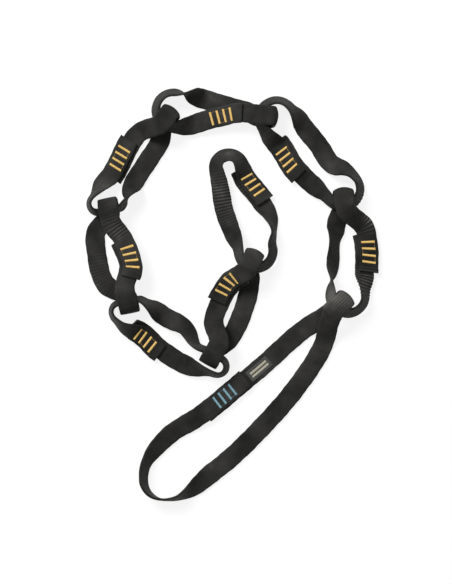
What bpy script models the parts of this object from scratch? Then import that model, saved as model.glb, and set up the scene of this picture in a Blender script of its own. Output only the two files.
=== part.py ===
"""Climbing daisy chain: one long and eight short sewn loops of flat webbing, linked and lying coiled.

Each loop is one strip of webbing. Its two ends are lapped and held by a bar tack. At a link one loop
stands on edge, and the next one is folded flat round it. Metres, +Z up.
"""

import bmesh
import bpy
import numpy as np
from dataclasses import dataclass
from math import atan2, cos, hypot, pi, radians, sin

# Webbing
WEB_WIDTH = 0.0160
WEB_THICKNESS = 0.0020
EDGE_ROUND = 0.0006

# Clearances
LAYER_GAP = 0.0003
LINK_GAP = 0.0003
LINK_SLACK = 0.0010

# Loops: the reach is the distance from link to link of a loop that lies stretched
LONG_REACH = 0.2140
SHORT_REACH = 0.1050
LONG_END_RADIUS = 0.0166
LAST_END_RADIUS = 0.0095
CREASE_RADIUS = 0.0025
TIGHT_BEND = 0.0040
LOOSE_BEND = 0.0070
STANDING_RUN = 0.0030
STACKED_RUN = 0.0015

# Laps
LONG_LAP = 0.0440
SHORT_LAP = 0.0340
LAP_RAMP = 0.0080
LAP_LEAD = 0.0040
LAP_CLEARANCE = 0.0003

# Bar tacks
BARS = 4
BAR_LENGTH = 0.0120
BAR_WIDTH = 0.0020
BAR_PITCH = 0.0052
BAR_HEIGHT = 0.0006
JUMP_WIDTH = 0.0008

# Label
LABEL_LENGTH = 0.0220
LABEL_WIDTH = 0.0100
LABEL_THICKNESS = 0.0006
LABEL_FROM_LAP = 0.0025
LABEL_PARTS = 8
SEAM_WIDTH = 0.0006
SEAM_HEIGHT = 0.0004
SEAM_MARGIN = 0.0010

# Fineness of the solids
SAMPLE_STEP = 0.0005
WIDTH_EASE = 0.0080
LONGEST_STEP = 0.0060
TURN_STEP = radians(14)
SHARP_ANGLE = radians(40)

# Attitudes of the webbing: the angle of its width from the ground, and the ways it can lie
ON_EDGE = radians(90)
FACE_UP = {"left": radians(180), "right": 0.0}


@dataclass
class Loop:
    """A loop lies along its heading, in degrees, from the link before it to the link after it.

    An end is "free", "standing" or "folded", and a swing turns it off the heading. Walked clockwise
    round the loop, the strip's first or last end lies over the other one at the lap, turned outward by
    a share of the webbing's width. Each row of a leg's shares holds its place along the reach, its
    place across in widths of webbing, how flat it lies, from 0 on edge to 1, and its height off the
    ground in layers of webbing.
    """
    number: int
    full_reach: float
    reach_share: float
    heading: float
    start: str
    end: str
    upper: str
    lap_side: str
    lap_share: float
    over: str
    skew_share: float
    left_shares: tuple
    right_shares: tuple
    start_swing: float = 0.0
    end_swing: float = 0.0

    @property
    def reach(self):
        """Distance from link to link as the loop lies."""
        return self.full_reach * self.reach_share


@dataclass
class FreeEnd:
    """The bend of an end that nothing hangs on.

    Its legs spread past parallel, in degrees. At each leg it stands on edge at a lean share of 0, and
    leans inward at a positive share or outward at a negative one, as far as flat at 1.
    """
    radius: float
    spread: float
    left_lean_share: float
    right_lean_share: float

    def lean(self, side):
        """Angle of its width from the ground where it meets a leg."""
        return ON_EDGE * (1.0 - (self.left_lean_share if side == "left" else self.right_lean_share))


LOOPS = (
    Loop(1, LONG_REACH, 0.989, 44.9, "free", "folded", "right", "left", 0.392, "last", 0.08,
         left_shares=((0.13, 1.39, 0.8, 0), (0.25, 1.04, 1, 0), (0.38, 0.79, 1, 0), (0.56, 0.54, 1, 0),
                      (0.78, 0.37, 1, 0)),
         right_shares=((0.16, -1.55, 1, 0), (0.42, -1.67, 1, 0), (0.61, -1.48, 1, 0),
                       (0.79, -0.96, 1, 0))),
    Loop(2, SHORT_REACH, 0.83, 92.8, "standing", "folded", "right", "right", 0.39, "last", 0.20,
         left_shares=((0.30, 0.69, 0.5, 0), (0.52, 0.53, 0.35, 0), (0.70, 0.35, 1, 0)),
         right_shares=((0.24, -0.94, 1, 0), (0.42, -1.11, 1, 0), (0.62, -1.06, 1, 0))),
    Loop(3, SHORT_REACH, 0.755, 132.8, "standing", "standing", "none", "left", 0.62, "first", 0.20,
         left_shares=((0.34, 0.98, 1, 0), (0.58, 0.99, 1, 0), (0.78, 0.90, 1, 0)),
         right_shares=((0.28, -0.49, 1, 0), (0.50, -0.66, 1, 0), (0.72, -0.73, 1, 0))),
    Loop(4, SHORT_REACH, 0.804, 175.7, "folded", "standing", "left", "left", 0.52, "first", 0.04,
         left_shares=((0.34, -0.12, 1, 3), (0.56, 0.18, 1, 1), (0.76, 0.55, 1, 0)),
         right_shares=((0.28, -0.23, 1, 0), (0.48, -0.44, 1, 0), (0.72, -0.72, 1, 0))),
    Loop(5, SHORT_REACH, 0.862, 233.5, "folded", "standing", "right", "right", 0.63, "last", 0.16,
         left_shares=((0.28, 0.34, 1, 0), (0.50, 0.46, 1, 0), (0.74, 0.56, 1, 0)),
         right_shares=((0.34, -0.74, 1, 0), (0.56, -0.70, 1, 0), (0.81, -0.60, 1, 0))),
    Loop(6, SHORT_REACH, 0.896, 281.6, "folded", "folded", "left", "left", 0.54, "last", 0.20,
         left_shares=((0.38, 0.43, 1, 5), (0.60, 0.48, 1, 5)),
         right_shares=((0.26, -0.94, 1, 0), (0.44, -1.12, 1, 0), (0.72, -0.97, 1, 0))),
    Loop(7, SHORT_REACH, 0.72, 326.2, "standing", "standing", "none", "right", 0.29, "first", 0.18,
         left_shares=((0.34, 0.78, 1, 0), (0.58, 0.90, 0.6, 0)),
         right_shares=((0.26, -0.65, 1, 0), (0.48, -0.73, 1, 0), (0.74, -0.73, 1, 0)),
         end_swing=15.0),
    Loop(8, SHORT_REACH, 0.953, 66.9, "folded", "folded", "left", "left", 0.66, "first", 0.18,
         left_shares=((0.34, 0.57, 1, 2), (0.52, 0.64, 1, 1), (0.70, 0.53, 1, 2)),
         right_shares=((0.24, -0.49, 1, 0), (0.51, -0.61, 1, 0), (0.78, -0.28, 1, 0)),
         start_swing=-6.0),
    Loop(9, SHORT_REACH, 0.69, 108.5, "standing", "free", "none", "right", 0.71, "last", 0.16,
         left_shares=((0.30, 0.84, 0.7, 0), (0.55, 0.86, 0.8, 0), (0.82, 0.68, 0.7, 0)),
         right_shares=((0.14, -1.19, 0.1, 0), (0.32, -1.28, 0.5, 0), (0.47, -1.11, 0.85, 0),
                       (0.84, -0.67, 0.85, 0)),
         start_swing=-12.0),
)

# Links that swivel flat on the ground, the others fold upward off it
SWIVEL_LINKS = (1, 2, 3, 4, 8)

# How far inward a standing end's top edge leans, from 0 on edge to 1 flat
SWIVEL_LEAN_SHARE = 0.30
FOLD_LEAN_SHARE = 0.18

# The two ends of the chain
FREE_ENDS = {1: FreeEnd(LONG_END_RADIUS, spread=44.2, left_lean_share=-0.25, right_lean_share=0.12),
             9: FreeEnd(LAST_END_RADIUS, spread=4.0, left_lean_share=0.5, right_lean_share=0.5)}


def compass(angle_deg):
    """Unit vector on the ground at an angle."""
    angle = radians(angle_deg)
    return np.array((cos(angle), sin(angle)))


def left_of(direction):
    """The direction a quarter turn to the left on the ground."""
    return np.array((-direction[1], direction[0]))


def smooth(share):
    """Ease from 0 to 1 without a corner."""
    share = np.clip(share, 0.0, 1.0)
    return share * share * (3.0 - 2.0 * share)


def steps(length):
    """How many samples cover a length."""
    return max(2, round(length / SAMPLE_STEP))


def under_height():
    """Height of the flat space below a standing loop, filled by the folded loop's lower layer."""
    return WEB_THICKNESS + LINK_GAP


def upper_lift():
    """Height of the underside of a folded loop's upper layer where it crosses the standing strip."""
    return under_height() + WEB_WIDTH + LINK_GAP


def strip_reach():
    """How far a strip's corners reach from its middle line, as it turns about that line."""
    return hypot(WEB_WIDTH / 2, WEB_THICKNESS / 2) + LINK_GAP


def ring_lean(link):
    """Angle of a standing end's width from the ground."""
    return ON_EDGE * (1.0 - (FOLD_LEAN_SHARE if link_folds_up(link) else SWIVEL_LEAN_SHARE))


def lean_reach(link):
    """How far a standing end's edges lie to either side of its middle line, seen from above."""
    return WEB_WIDTH / 2 * cos(ring_lean(link))


def ring_lift(link):
    """Height of a standing end's lower edge: it rests on the folded strip, or hangs midway where it folds."""
    if not link_folds_up(link):
        return under_height()
    lean = ring_lean(link)
    return under_height() + WEB_WIDTH / 2 - WEB_WIDTH / 2 * sin(lean) - WEB_THICKNESS / 2 * cos(lean)


def swivel_radius(link):
    """Radius of a standing end's middle line, which a folded strip can turn in."""
    return strip_reach() + LINK_SLACK + WEB_THICKNESS / 2 + lean_reach(link)


def fold_radius():
    """Radius of a round fold's middle line, which a standing strip can tilt in."""
    return upper_lift() / 2


def link_folds_up(link):
    """Links are numbered by the loop before them."""
    return link not in SWIVEL_LINKS


def link_points(start):
    """Places of the two free ends and the eight links, in order along the chain."""
    points = [start]
    for loop in LOOPS:
        points.append(points[-1] + loop.reach * compass(loop.heading))
    return points


def seat_distance(link):
    """Distance from a folded strip's crease to the standing strip that it goes round."""
    return fold_radius() if link_folds_up(link) else swivel_radius(link)


def stacked_run(link, is_upper):
    """How far a folded end's leg runs straight from the crease, clear of the standing strip as it moves."""
    if is_upper and link_folds_up(link):
        return seat_distance(link) + strip_reach()
    return seat_distance(link) - lean_reach(link) + WEB_THICKNESS / 2 + LINK_GAP + STACKED_RUN


def attitude(loop, side, flat_share):
    """Angle of the webbing's width from the ground, measured from the loop's left."""
    if "folded" in (loop.start, loop.end):
        flat = FACE_UP["left"] if loop.upper == "left" else FACE_UP["right"]
        if loop.start == loop.end:
            flat = 0.0
    else:
        flat = FACE_UP[side]
    return ON_EDGE + flat_share * (flat - ON_EDGE)


def arc(centre, radius, start_angle, sweep):
    """Points on the ground round a centre."""
    count = steps(abs(sweep) * radius)
    angles = start_angle + sweep * np.linspace(0.0, 1.0, count)
    return np.stack((centre[0] + radius * np.cos(angles), centre[1] + radius * np.sin(angles)), axis=1)


def half_of_standing_end(middle, along, turn, straight, radius, clockwise):
    """From the middle of a standing end: a straight stretch, an arc and the standing run after it."""
    points = [middle]
    corner = middle + straight * along
    if straight > 0:
        points += list(middle + along * straight * share for share in np.linspace(0, 1, steps(straight))[1:])
    side = -1.0 if clockwise else 1.0
    centre = corner + side * radius * left_of(along)
    start_angle = atan2(corner[1] - centre[1], corner[0] - centre[0])
    sweep = side * radians(turn)
    points += list(arc(centre, radius, start_angle, sweep))[1:]
    turned = atan2(along[1], along[0]) + sweep
    heading = np.array((cos(turned), sin(turned)))
    tip = points[-1]
    shares = np.linspace(0, 1, steps(STANDING_RUN))[1:]
    points += list(tip + heading * STANDING_RUN * share for share in shares)
    return np.array(points)


def standing_end(joint, outward, toward, link, radius, lift, spread, leans):
    """Middle line of an end on edge, walked clockwise from one leg to the other.

    It is round where the loops swivel, and has a straight seat where they fold upward. Its lean eases
    from the first leg's to the second one's.
    """
    swing = (toward - outward + 180.0) % 360.0 - 180.0
    turns = (90.0 - swing - spread, 90.0 + swing - spread)
    straight = 0.0
    bends = (radius, radius)
    if link and link_folds_up(link):
        straight = WEB_WIDTH / 2 + LINK_GAP
        bends = tuple(TIGHT_BEND if turn < 90.0 else LOOSE_BEND for turn in turns)
    reach = seat_distance(link) if link else radius
    middle = joint + reach * compass(toward)
    forward = -left_of(compass(toward))
    before = half_of_standing_end(middle, -forward, turns[0], straight, bends[0], False)
    after = half_of_standing_end(middle, forward, turns[1], straight, bends[1], True)
    plan = np.concatenate((before[::-1], after[1:]))
    lean = leans[0] + (leans[1] - leans[0]) * smooth(np.linspace(0.0, 1.0, len(plan)))
    height = lift + WEB_WIDTH / 2 * np.sin(lean) + WEB_THICKNESS / 2 * np.abs(np.cos(lean))
    headings = np.gradient(plan, axis=0)
    headings /= np.linalg.norm(headings, axis=1)[:, None]
    inward = np.column_stack((headings[:, 1], -headings[:, 0]))
    width_way = np.column_stack((np.cos(lean)[:, None] * inward, np.sin(lean)))
    return np.column_stack((plan, height)), width_way


def folded_end(joint, outward, link, in_is_upper, width_sign, left):
    """Middle line of an end folded flat round a standing strip, from one leg to the other.

    The upper leg runs on past the standing strip before it comes down to the ground.
    """
    low = WEB_THICKNESS / 2
    high = upper_lift() + low
    bend = fold_radius() if link_folds_up(link) else CREASE_RADIUS
    quarter = np.linspace(0.0, pi / 2, steps(bend * pi / 2))
    wall = (high - low) / 2 - bend
    levels = np.zeros(0)
    if wall > SAMPLE_STEP:
        levels = np.linspace(low + bend, low + bend + wall, steps(wall))[1:]
    halves = []
    for is_upper in (in_is_upper, not in_is_upper):
        run = stacked_run(link, is_upper)
        straight = np.linspace(run, bend, steps(run - bend))
        back = np.concatenate((straight, bend - bend * np.sin(quarter)[1:], np.zeros(len(levels))))
        rise = np.concatenate((np.full(len(straight), low), low + bend - bend * np.cos(quarter)[1:], levels))
        halves.append(np.column_stack((back, high + low - rise if is_upper else rise)))
    profile = np.concatenate((halves[0], halves[1][::-1][1:]))
    back, rise = profile[:, 0], profile[:, 1]
    body = -compass(outward)
    plan = joint + np.outer(back, body)
    width_way = np.tile((width_sign * left[0], width_sign * left[1], 0.0), (len(plan), 1))
    return np.column_stack((plan, rise)), width_way


def smooth_curve(knots, head_in, head_out):
    """Smooth plan curve through knots, with the share of the way between each two of them."""
    chords = np.linalg.norm(np.diff(knots, axis=0), axis=1)
    slopes = np.zeros_like(knots)
    slopes[0] = head_in
    slopes[-1] = head_out
    for index in range(1, len(knots) - 1):
        before = (knots[index] - knots[index - 1]) / chords[index - 1]
        after = (knots[index + 1] - knots[index]) / chords[index]
        weight = chords[index - 1] / (chords[index - 1] + chords[index])
        slopes[index] = before * (1.0 - weight) + after * weight
    points, places = [], []
    for index, chord in enumerate(chords):
        share = np.linspace(0.0, 1.0, steps(chord) + 1)[:-1, None]
        ease = smooth(share)
        points.append(knots[index] * (1 - ease) + knots[index + 1] * ease
                      + chord * slopes[index] * share * (1 - share) ** 2
                      - chord * slopes[index + 1] * share ** 2 * (1 - share))
        places.append(index + share[:, 0])
    return np.concatenate(points), np.concatenate(places)


def ease_between(values, places):
    """Values given at the knots, eased from each to the next."""
    values = np.array(values)
    index = np.minimum(places.astype(int), len(values) - 2)
    share = smooth(places - index)
    return values[index] * (1 - share) + values[index + 1] * share


def leg(loop, side, rows, origin, before, after):
    """Middle line of one leg, from the end walked before it to the end walked after it."""
    forward = compass(loop.heading)
    across_way = left_of(forward)
    travel = 1.0 if side == "left" else -1.0
    rows = rows if side == "left" else rows[::-1]
    plan = [before["tip"][:2]]
    lifts, tilts = [before["lift"]], [before["tilt"]]
    for along_share, across_share, flat_share, layers in rows:
        plan.append(origin + along_share * loop.reach * forward + across_share * WEB_WIDTH * across_way)
        lifts.append(layers * (WEB_THICKNESS + LAYER_GAP))
        tilts.append(attitude(loop, side, flat_share))
    plan.append(after["tip"][:2])
    lifts.append(after["lift"])
    tilts.append(after["tilt"])
    points, places = smooth_curve(np.array(plan), before["heading"], after["heading"])
    tilt = ease_between(tilts, places)
    lift = ease_between(lifts, places)
    height = lift + WEB_WIDTH / 2 * np.abs(np.sin(tilt)) + WEB_THICKNESS / 2 * np.abs(np.cos(tilt))
    headings = np.gradient(points, axis=0) * travel
    headings /= np.linalg.norm(headings, axis=1)[:, None]
    lateral = np.column_stack((-headings[:, 1], headings[:, 0]))
    width_way = np.column_stack((np.cos(tilt)[:, None] * lateral, np.sin(tilt)))
    return np.column_stack((points, height)), width_way


def end_of(loop, which, joint, link, partner_heading):
    """One end of a loop, with what each leg needs to meet it."""
    kind = loop.start if which == "start" else loop.end
    swing = loop.start_swing if which == "start" else loop.end_swing
    outward = loop.heading + swing + (180.0 if which == "start" else 0.0)
    forward = compass(loop.heading + swing)
    left = left_of(forward)
    side_in, side_out = ("left", "right") if which == "end" else ("right", "left")
    if kind == "folded":
        in_is_upper = loop.upper == side_in
        tilts = {side: attitude(loop, side, 1.0) for side in ("left", "right")}
        points, width_way = folded_end(joint, outward, link, in_is_upper, cos(tilts[side_in]), left)
        lifts = (upper_lift(), 0.0) if in_is_upper else (0.0, upper_lift())
    elif kind == "standing":
        lean = ring_lean(link)
        tilts = {"left": pi - lean, "right": lean}
        lifts = (ring_lift(link), ring_lift(link))
        points, width_way = standing_end(joint, outward, partner_heading, link, swivel_radius(link),
                                         ring_lift(link), 0.0, (lean, lean))
    else:
        bend = FREE_ENDS[loop.number]
        tilts = {"left": pi - bend.lean("left"), "right": bend.lean("right")}
        lifts = (0.0, 0.0)
        points, width_way = standing_end(joint, outward, outward, link, bend.radius, 0.0, bend.spread,
                                         (bend.lean(side_in), bend.lean(side_out)))
    into = points[1, :2] - points[0, :2]
    out = points[-1, :2] - points[-2, :2]
    arrive = {"tip": points[0], "lift": lifts[0], "tilt": tilts[side_in],
              "heading": into / np.linalg.norm(into)}
    leave = {"tip": points[-1], "lift": lifts[1], "tilt": tilts[side_out],
             "heading": out / np.linalg.norm(out)}
    return {"points": points, "width_way": width_way, "arrive": arrive, "leave": leave}


def body_heading(loop, at_start):
    """Direction in which a loop's body lies, seen from one of its links."""
    return loop.heading + loop.start_swing if at_start else loop.heading + loop.end_swing + 180.0


class Ribbon:
    """A strip's middle line, its width direction and its upward face, by distance along the strip."""

    def __init__(self, points, width_way):
        self.points = points
        self.spans = np.linalg.norm(np.diff(points, axis=0), axis=1)
        self.distance = np.concatenate(((0.0,), np.cumsum(self.spans)))
        tangent = np.gradient(points, self.distance, axis=0)
        self.tangent = tangent / np.linalg.norm(tangent, axis=1)[:, None]
        self.across = width_way
        face = np.cross(self.across, self.tangent)
        self.face = face / np.linalg.norm(face, axis=1)[:, None]

    def spot(self, distance, across, height):
        """A place on the strip: along it, across its width, and off its middle on its face's side."""
        values = [[np.interp(distance, self.distance, table[:, axis]) for axis in range(3)]
                  for table in (self.points, self.across, self.face)]
        middle, width_way, face = (np.array(value) for value in values)
        return middle + across * width_way + height * face

    def upper_side(self, distance):
        """1 if the strip's face looks up at a distance along it, and -1 if it looks down."""
        return 1.0 if np.interp(distance, self.distance, self.face[:, 2]) > 0 else -1.0


def half_height(tangent, way):
    """Height of the strip's middle line above its lowest corner."""
    face = np.cross(way, tangent)
    face /= np.linalg.norm(face, axis=1)[:, None]
    return WEB_WIDTH / 2 * np.abs(way[:, 2]) + WEB_THICKNESS / 2 * np.abs(face[:, 2])


def eased_ways(points, width_way):
    """Average the width directions along the closed route, so that a sharp turn's inner edge stays open.

    The middle line moves up or down with them, so that the lowest corners keep their height.
    """
    tangent = np.roll(points, -1, axis=0) - np.roll(points, 1, axis=0)
    tangent /= np.linalg.norm(tangent, axis=1)[:, None]
    along = np.sum(width_way * tangent, axis=1)[:, None]
    square = width_way - along * tangent
    square /= np.linalg.norm(square, axis=1)[:, None]
    reach = round(WIDTH_EASE / SAMPLE_STEP)
    eased = sum((reach + 1 - abs(shift)) * np.roll(square, shift, axis=0)
                for shift in range(-reach, reach + 1))
    eased /= np.linalg.norm(eased, axis=1)[:, None]
    rise = half_height(tangent, eased) - half_height(tangent, square)
    return points + np.outer(rise, (0.0, 0.0, 1.0)), eased


def closed_route(loop, origin, start_end, finish_end):
    """The loop's whole middle line, walked clockwise from the start of its left leg."""
    left = leg(loop, "left", loop.left_shares, origin, start_end["leave"], finish_end["arrive"])
    right = leg(loop, "right", loop.right_shares, origin, finish_end["leave"], start_end["arrive"])
    runs = (left, (finish_end["points"][:-1], finish_end["width_way"][:-1]),
            right, (start_end["points"][:-1], start_end["width_way"][:-1]))
    turned = len(runs[0][0]) + len(runs[1][0])
    sides = {"left": (0, len(left[0])), "right": (turned, turned + len(right[0]))}
    points, ways = (np.concatenate(tables) for tables in zip(*runs))
    return *eased_ways(points, ways), sides


def lap_length(loop):
    """Length of the overlap that the bar tack holds."""
    return LONG_LAP if loop.number == 1 else SHORT_LAP


def lapped_ribbon(loop, origin, points, width_way, sides):
    """Open the closed route at the lap and lay one end of the strip over the other."""
    forward = compass(loop.heading)
    first, last = sides[loop.lap_side]
    along = (points[first:last, :2] - origin) @ forward / loop.reach
    middle = first + int(np.argmin(np.abs(along - loop.lap_share)))
    spans = np.linalg.norm(np.diff(np.vstack((points, points[:1])), axis=0), axis=1)
    walked = np.concatenate(((0.0,), np.cumsum(spans)))
    total = walked[-1]
    lap = lap_length(loop)
    opening = int(np.argmin(np.abs(walked[:-1] - (walked[middle] - lap / 2) % total)))
    points = np.roll(points, -opening, axis=0)
    width_way = np.roll(width_way, -opening, axis=0)
    spans = np.roll(spans, -opening)
    walked = np.concatenate(((0.0,), np.cumsum(spans)))[:-1]
    room_below = BAR_HEIGHT + LAYER_GAP + LAP_CLEARANCE
    raised = np.maximum(smooth((lap + LAP_RAMP - walked) / LAP_RAMP),
                        smooth((walked - total + LAP_RAMP) / LAP_RAMP))
    points = points + np.outer(raised * room_below, (0.0, 0.0, 1.0))
    covered = int(np.searchsorted(walked, lap))
    if loop.over == "last":
        climb = smooth((walked - total + LAP_LEAD + 2 * LAP_RAMP) / (2 * LAP_RAMP))
        over = np.concatenate((climb, np.ones(covered)))
    else:
        descent = smooth((lap + LAP_LEAD + 2 * LAP_RAMP - walked) / (2 * LAP_RAMP))
        over = np.concatenate((descent, np.zeros(covered)))
    strip = np.concatenate((points, points[:covered]))
    ways = np.concatenate((width_way, width_way[:covered]))
    ribbon = Ribbon(strip, ways)
    upward = ribbon.face * np.sign(ribbon.face[:, 2])[:, None]
    outward = np.column_stack((-ribbon.tangent[:, 1], ribbon.tangent[:, 0], np.zeros(len(strip))))
    aside = (smooth((lap - walked) / lap), smooth(walked[:covered] / lap))
    turned = np.concatenate(aside if loop.over == "first" else (-aside[0], aside[1]))
    if loop.over == "first":
        turned[len(walked):] *= -1.0
    skew = turned * loop.skew_share * WEB_WIDTH
    lifted = over * (WEB_THICKNESS + LAYER_GAP)
    return Ribbon(strip + lifted[:, None] * upward + skew[:, None] * outward, ways)


def thin_out(ribbon):
    """Keep the stations that the strip's bends and twists need."""
    kept = [0]
    for index in range(1, len(ribbon.points) - 1):
        last = kept[-1]
        turned = min(ribbon.tangent[index + 1] @ ribbon.tangent[last],
                     ribbon.across[index + 1] @ ribbon.across[last])
        if turned < cos(TURN_STEP) or ribbon.distance[index + 1] - ribbon.distance[last] > LONGEST_STEP:
            kept.append(index)
    return kept + [len(ribbon.points) - 1]


def section():
    """Outline of the webbing: flat faces and rounded edges, as places across it and above its middle."""
    half_width, half_thickness = WEB_WIDTH / 2, WEB_THICKNESS / 2
    flat = half_width - EDGE_ROUND
    return ((-half_width, 0.0), (-flat, -half_thickness), (flat, -half_thickness),
            (half_width, 0.0), (flat, half_thickness), (-flat, half_thickness))


def strip_corners(ribbon, stations):
    """Corner points of the strip at each station."""
    return np.array([[ribbon.points[i] + across * ribbon.across[i] + height * ribbon.face[i]
                      for across, height in section()] for i in stations])


def add_object(name, mesh, material, carrier, origin):
    """Put a mesh, given in world coordinates, into the scene under its carrier."""
    for vertex in mesh.vertices:
        vertex.co = [value - base for value, base in zip(vertex.co, origin)]
    mesh.materials.append(material)
    mesh.shade_smooth()
    mesh.set_sharp_from_angle(angle=SHARP_ANGLE)
    part = bpy.data.objects.new(name, mesh)
    bpy.context.collection.objects.link(part)
    part.parent = carrier
    return part


def mesh_from(name, shape):
    """Finish a bmesh with its faces pointing out."""
    bmesh.ops.recalc_face_normals(shape, faces=shape.faces)
    mesh = bpy.data.meshes.new(name)
    shape.to_mesh(mesh)
    shape.free()
    return mesh


def strip_mesh(name, ribbon):
    """The webbing itself: its outline extruded from station to station into one closed solid."""
    shape = bmesh.new()
    corner = shape.verts.layers.int.new("corner")
    rings = strip_corners(ribbon, thin_out(ribbon))
    for number, point in enumerate(rings[0]):
        shape.verts.new(point)[corner] = number
    cut_end = end = shape.faces.new(shape.verts)
    for ring in rings[1:]:
        grown = bmesh.ops.extrude_face_region(shape, geom=[end])["geom"]
        if end is not cut_end:
            bmesh.ops.delete(shape, geom=[end], context="FACES_ONLY")
        end = next(item for item in grown if isinstance(item, bmesh.types.BMFace))
        for vertex in end.verts:
            vertex.co = ring[vertex[corner]]
    return mesh_from(name, shape)


def raised_mesh(name, ribbon, outlines, base, top):
    """Flat outlines drawn on the strip, as distances along and across it, extruded to a thickness."""
    shape = bmesh.new()
    number = shape.verts.layers.int.new("number")
    spots = list(dict.fromkeys(spot for outline in outlines for spot in outline))
    corners = {}
    for index, (along, across) in enumerate(spots):
        corners[along, across] = shape.verts.new(ribbon.spot(along, across, base))
        corners[along, across][number] = index
    faces = [shape.faces.new([corners[spot] for spot in outline]) for outline in outlines]
    for item in bmesh.ops.extrude_face_region(shape, geom=faces)["geom"]:
        if isinstance(item, bmesh.types.BMVert):
            item.co = ribbon.spot(*spots[item[number]], top)
    return mesh_from(name, shape)


def tack_outlines(middle):
    """Bars across the strip, each joined to the next by a jump thread at alternate edges."""
    outlines = []
    half = BAR_LENGTH / 2
    inside = half - JUMP_WIDTH
    first = middle - BAR_PITCH * (BARS - 1) / 2 - BAR_WIDTH / 2
    spans = [(first + bar * BAR_PITCH, first + bar * BAR_PITCH + BAR_WIDTH) for bar in range(BARS)]
    for bar, (near, far) in enumerate(spans):
        side = 1.0 if bar % 2 else -1.0
        outline = [(near, side * half), (near, -side * half), (far, -side * half), (far, side * half)]
        if bar > 0:
            outline.insert(1, (near, side * inside))
        if bar < BARS - 1:
            outline.insert(-1, (far, -side * inside))
            ahead = spans[bar + 1][0]
            outlines.append([(far, -side * half), (far, -side * inside), (ahead, -side * inside),
                             (ahead, -side * half)])
        outlines.append(outline)
    return outlines


def label_outlines(middle):
    """The label's rectangle, lengthwise on the webbing, in short parts that follow its bends."""
    stops = middle + LABEL_LENGTH * np.linspace(-0.5, 0.5, LABEL_PARTS + 1)
    low, high = -LABEL_WIDTH / 2, LABEL_WIDTH / 2
    return [[(near, low), (near, high), (far, high), (far, low)] for near, far in zip(stops, stops[1:])]


def seam_outlines(middle):
    """A closed row of stitches round the label, as two side bands in short parts and two end bands."""
    outer = LABEL_LENGTH / 2 - SEAM_MARGIN
    inner = outer - SEAM_WIDTH
    high = LABEL_WIDTH / 2 - SEAM_MARGIN
    low = high - SEAM_WIDTH
    stops = middle + inner * np.linspace(-1.0, 1.0, LABEL_PARTS + 1)
    outlines = [[(near, side * low), (near, side * high), (far, side * high), (far, side * low)]
                for side in (-1, 1) for near, far in zip(stops, stops[1:])]
    for stop, end in ((stops[0], middle - outer), (stops[-1], middle + outer)):
        outlines.append([(stop, -low), (stop, -high), (end, -high), (end, high), (stop, high), (stop, low)])
    return outlines


def build_ribbons(start):
    """Every loop's strip, and the links' places, with the first end at a start point."""
    points = link_points(start)
    ribbons = []
    for index, loop in enumerate(LOOPS):
        before = LOOPS[index - 1] if index else None
        after = LOOPS[index + 1] if index + 1 < len(LOOPS) else None
        start_partner = body_heading(before, False) if before else None
        end_partner = body_heading(after, True) if after else None
        start_end = end_of(loop, "start", points[index], index, start_partner)
        finish_end = end_of(loop, "end", points[index + 1], index + 1 if after else 0, end_partner)
        route = closed_route(loop, points[index], start_end, finish_end)
        ribbons.append(lapped_ribbon(loop, points[index], *route))
    return ribbons, points


def plan_centre(ribbons):
    """Middle of the chain's outline on the ground."""
    corners = [strip_corners(ribbon, thin_out(ribbon)).reshape(-1, 3) for ribbon in ribbons]
    corners = np.concatenate(corners)
    return (corners[:, :2].min(axis=0) + corners[:, :2].max(axis=0)) / 2


def link_axes(points):
    """Point and direction of each link's axis: upright where it swivels, level where it folds up."""
    axes = []
    for index, (before, after) in enumerate(zip(LOOPS, LOOPS[1:])):
        link = index + 1
        place = points[link]
        direction = np.array((0.0, 0.0, -1.0))
        if link_folds_up(link):
            folded_before = before.end == "folded"
            toward = compass(body_heading(before, False) if folded_before else body_heading(after, True))
            place = place + fold_radius() * toward
            level = left_of(toward) if folded_before else -left_of(toward)
            direction = np.array((level[0], level[1], 0.0))
        axes.append((np.array((place[0], place[1], under_height() + WEB_WIDTH / 2)), direction))
    return axes


def material(name, colour, roughness):
    """A plain non-metal surface."""
    surface = bpy.data.materials.new(name)
    surface.use_nodes = True
    shader = surface.node_tree.nodes["Principled BSDF"]
    shader.inputs["Base Color"].default_value = (*colour, 1.0)
    shader.inputs["Roughness"].default_value = roughness
    shader.inputs["Metallic"].default_value = 0.0
    surface.diffuse_color = (*colour, 1.0)
    return surface


def carrier(name, place, parent, parent_place):
    """An empty on a link's axis, which carries the loop after the link."""
    empty = bpy.data.objects.new(name, None)
    bpy.context.collection.objects.link(empty)
    empty.empty_display_size = WEB_WIDTH
    empty.parent = parent
    empty.location = place - parent_place
    return empty


def add_tacks(loop, ribbon, thread, holder, origin):
    """The rows of thread on the lap's face and on its back."""
    lap = lap_length(loop)
    seat = WEB_THICKNESS / 2 + LAYER_GAP
    places = (lap / 2, ribbon.distance[-1] - lap / 2)
    over, under = places if loop.over == "first" else places[::-1]
    for side, middle, way in (("face", over, 1.0), ("back", under, -1.0)):
        way *= ribbon.upper_side(middle)
        tack = raised_mesh(f"bar_tack_{side}", ribbon, tack_outlines(middle), way * seat,
                           way * (seat + BAR_HEIGHT))
        add_object(f"bar_tack_{loop.number}_{side}", tack, thread, holder, origin)


def add_label(ribbon, cloth, thread, holder, origin):
    """The bare label on the long loop, past the lap, and the stitches that hold it."""
    middle = LONG_LAP + LABEL_FROM_LAP + LABEL_LENGTH / 2
    way = ribbon.upper_side(middle)
    seat = WEB_THICKNESS / 2 + LAYER_GAP
    top = seat + LABEL_THICKNESS
    seam_seat = top + LAYER_GAP
    label = raised_mesh("label", ribbon, label_outlines(middle), way * seat, way * top)
    seam = raised_mesh("label_seam", ribbon, seam_outlines(middle), way * seam_seat,
                       way * (seam_seat + SEAM_HEIGHT))
    add_object("label", label, cloth, holder, origin)
    add_object("label_seam", seam, thread, holder, origin)


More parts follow.
